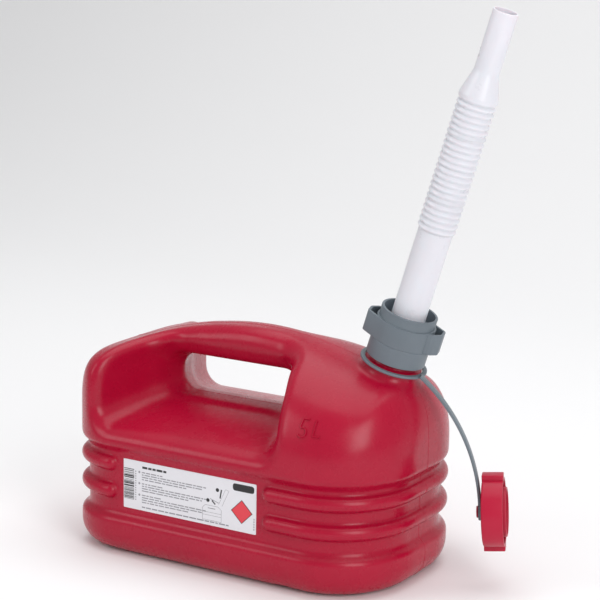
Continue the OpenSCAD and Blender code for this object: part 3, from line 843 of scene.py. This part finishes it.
def strap_run(a0, a1, count):
    """The flat strap along its arc from angle a0 to a1."""
    rows = []
    for a in np.radians(np.linspace(a0, a1, count)):
        out = np.array((math.cos(a), 0, math.sin(a)))
        rows.append((np.array((ARC_X, 0, ARC_Z)) + ARC_R * out, out, np.array((0, 1.0, 0))))
    return sweep(rows, band)


BENDS = (ARC_A[1], ARC_A[2])
SPLITS = (42.0, (BENDS[0] + BENDS[1]) / 2, 9.6)
ring = rounded(rectangle(RING_R, RING_R + RING_W, RING_Z, RING_Z + STRAP_T), 0.6, 4)
root = Parts().add(*lathe(ring, 144), matrix=NECK)
root.add(*strap_run(ARC_A[0] + 0.9, SPLITS[0], 24), matrix=STRAP)
root = root.make("strap_neck_ring", [GREY])
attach(root, "strap")
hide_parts("strap_ring")

TONGUES = (("strap_tongue_upper", ("strap", "strap_mid")), ("strap_tongue_lower", ("strap_mid", "strap_end")))
for k, (name, bodies) in enumerate(TONGUES):
    a0, a1 = SPLITS[k], SPLITS[k + 1]
    piece = make(name, *strap_run(a0, a1, 40), [GREY], matrix=STRAP)
    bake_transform(piece)
    if k == 0:
        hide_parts("strap_middle")

eye_low, eye_high = -STRAP_T / 2, EYE_T - STRAP_T / 2
eye = rounded(rectangle(STUD_R + 0.1, EYE_R, eye_low, eye_high), 0.5, 4)
end = Parts().add(*lathe(eye, 64), matrix=CAP)
end.add(*strap_run(SPLITS[2], ARC_A[3] - 0.3, 16), matrix=STRAP)
end = end.make("strap_cap_eye", [GREY])
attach(end, "strap_end")
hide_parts("strap_eye")

# ---------------------------------------------------------------- the cap
shell_in = CAP_R - CAP_WALL
shell = rounded([
    (0.01, CAP_Z), (CAP_R, CAP_Z), (CAP_R, CAP_Z + CAP_H), (shell_in, CAP_Z + CAP_H), (shell_in, INSERT_Z),
    (INSERT_R + 1.4, INSERT_Z), (INSERT_R + 1.4, INSERT_Z + 5), (INSERT_R + 0.04, INSERT_Z + 5),
    (INSERT_R + 0.04, INSERT_Z), (0.01, INSERT_Z)], [0, 1.6, 0.5, 0.5, 1.0, 0.5, 0.3, 0.3, 0, 0], 6)
stud = rounded([
    (0.01, eye_low - 1.5), (STUD_R + 1.5, eye_low - 1.5), (STUD_R + 1.5, eye_low - 0.3),
    (STUD_R, eye_low - 0.3), (STUD_R, CAP_Z + 0.1), (0.01, CAP_Z + 0.1)], [0, 0.6, 0.3, 0.15, 0, 0], 5)
cap = Parts().add(*lathe(shell, 144)).add(*lathe(stud, 48))


def rounded_box(size, radius, centre):
    """A box with rounded edges, from a cube by bevelling."""
    bm = bmesh.new()
    bmesh.ops.create_cube(bm, size=1.0)
    for vert in bm.verts:
        vert.co = Vector(c * s for c, s in zip(vert.co, size)) + Vector(centre)
    bmesh.ops.bevel(bm, geom=list(bm.edges), offset=radius, segments=3, profile=0.5, affect="EDGES")
    bm.verts.index_update()
    shape = [tuple(v.co) for v in bm.verts], [[v.index for v in f.verts] for f in bm.faces]
    bm.free()
    return shape


for side in (-1, 1):
    cap.add(*rounded_box((LUG_H + 2, 10, CAP_H), 0.6, (side * (CAP_R + LUG_H / 2 - 1), 0, CAP_Z + CAP_H / 2)))
cap = cap.make("cap_outer_shell", [CAP_RED], CAP, smooth_angle=32)
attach(cap, "cap")
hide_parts("cap_shell")

cup = rounded([
    (0.01, INSERT_Z), (INSERT_R, INSERT_Z), (INSERT_R, INSERT_TOP), (NECK_R + 0.05, INSERT_TOP),
    (NECK_R + 0.05, INSERT_Z + 2), (0.01, INSERT_Z + 2)], [0, 0.2, 0.7, 0.5, 0.2, 0], 5)
insert = Parts().add(*lathe(cup, 144))
insert.add(*helix(NECK_R + 0.05, -1.0, INSERT_Z + 5.5, INSERT_TOP - 1.5, 0.4, per_turn=60))
insert = insert.make("cap_threaded_cup", [CAP_RED], CAP, smooth_angle=32)
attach(insert, "cap")
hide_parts("cap_insert")

for name in ("cap_seal", "spout_gasket"):
    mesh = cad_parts[name].data
    mesh.materials.clear()
    mesh.materials.append(RUBBER)


# ---------------------------------------------------------------- floor, light and camera
def pale(name, rgb):
    mat = bpy.data.materials.new(name)
    mat.use_nodes = True
    mat.node_tree.nodes["Principled BSDF"].inputs["Base Color"].default_value = (*linear(rgb), 1)
    mat.node_tree.nodes["Principled BSDF"].inputs["Roughness"].default_value = 0.9
    return mat


def studio_sweep():
    """A floor that curves up into a backdrop behind the object."""
    front, bend, curve_r, height, sides, steps = -4.0, 0.9, 1.3, 4.0, (-6, 6), 12
    verts, faces = [(x, y, 0.0) for y in (front, bend) for x in sides], []
    for k in range(1, steps + 1):
        a = math.radians(90 * k / steps)
        verts += [(x, bend + curve_r * math.sin(a), curve_r * (1 - math.cos(a))) for x in sides]
    verts += [(x, bend + curve_r, height) for x in sides]
    for k in range(len(verts) // 2 - 1):
        faces.append((2 * k, 2 * k + 1, 2 * k + 3, 2 * k + 2))
    mesh = bpy.data.meshes.new("studio_floor")
    mesh.from_pydata(verts, [], faces)
    mesh.polygons.foreach_set("use_smooth", [True] * len(mesh.polygons))
    mesh.materials.append(pale("studio_paper", (246, 246, 247)))
    obj = bpy.data.objects.new("studio_floor", mesh)
    bpy.context.scene.collection.objects.link(obj)


studio_sweep()


def softbox(name, at, look, size, watts):
    data = bpy.data.lights.new(name, "AREA")
    data.shape, data.size, data.size_y = "RECTANGLE", *size
    data.energy = watts
    obj = bpy.data.objects.new(name, data)
    bpy.context.scene.collection.objects.link(obj)
    obj.location = at
    obj.rotation_mode = "QUATERNION"
    obj.rotation_quaternion = (Vector(look) - Vector(at)).to_track_quat("-Z", "Y")


middle = (0.0, 0.0, 0.11)
softbox("key_left", (-0.95, -1.15, 0.95), middle, (0.5, 0.9), 4.5)
softbox("front_right", (1.15, -0.75, 0.75), (0.06, 0, 0.12), (0.6, 1.0), 9)
softbox("overhead", (0.0, 0.35, 2.0), (0, 0.35, 0), (2.2, 2.0), 24)


world = bpy.data.worlds.new("studio")
world.use_nodes = True
world.node_tree.nodes["Background"].inputs["Color"].default_value = (1.0, 1.0, 1.0, 1)
world.node_tree.nodes["Background"].inputs["Strength"].default_value = 0.45
bpy.context.scene.world = world
bpy.context.scene.view_settings.view_transform = "Standard"

CAMERA_AT = (0.7923, -1.2792, 0.5266)
yaw, pitch, roll = (math.radians(a) for a in (30.92, 12.25, 1.04))
back = Vector((math.sin(yaw) * math.cos(pitch), -math.cos(yaw) * math.cos(pitch), math.sin(pitch)))
right = Vector((math.cos(yaw), math.sin(yaw), 0))
up = back.cross(right)
right, up = (math.cos(roll) * right + math.sin(roll) * up, -math.sin(roll) * right + math.cos(roll) * up)
camera = bpy.data.objects.new("camera", bpy.data.cameras.new("camera"))
camera.data.lens, camera.data.sensor_width = 120, 36
camera.data.clip_start, camera.data.clip_end = 0.05, 50
turn = Matrix((right, up, back)).transposed().to_4x4()
camera.matrix_world = Matrix.Translation(CAMERA_AT) @ turn
bpy.context.scene.collection.objects.link(camera)
bpy.context.scene.camera = camera

bpy.context.view_layer.update()
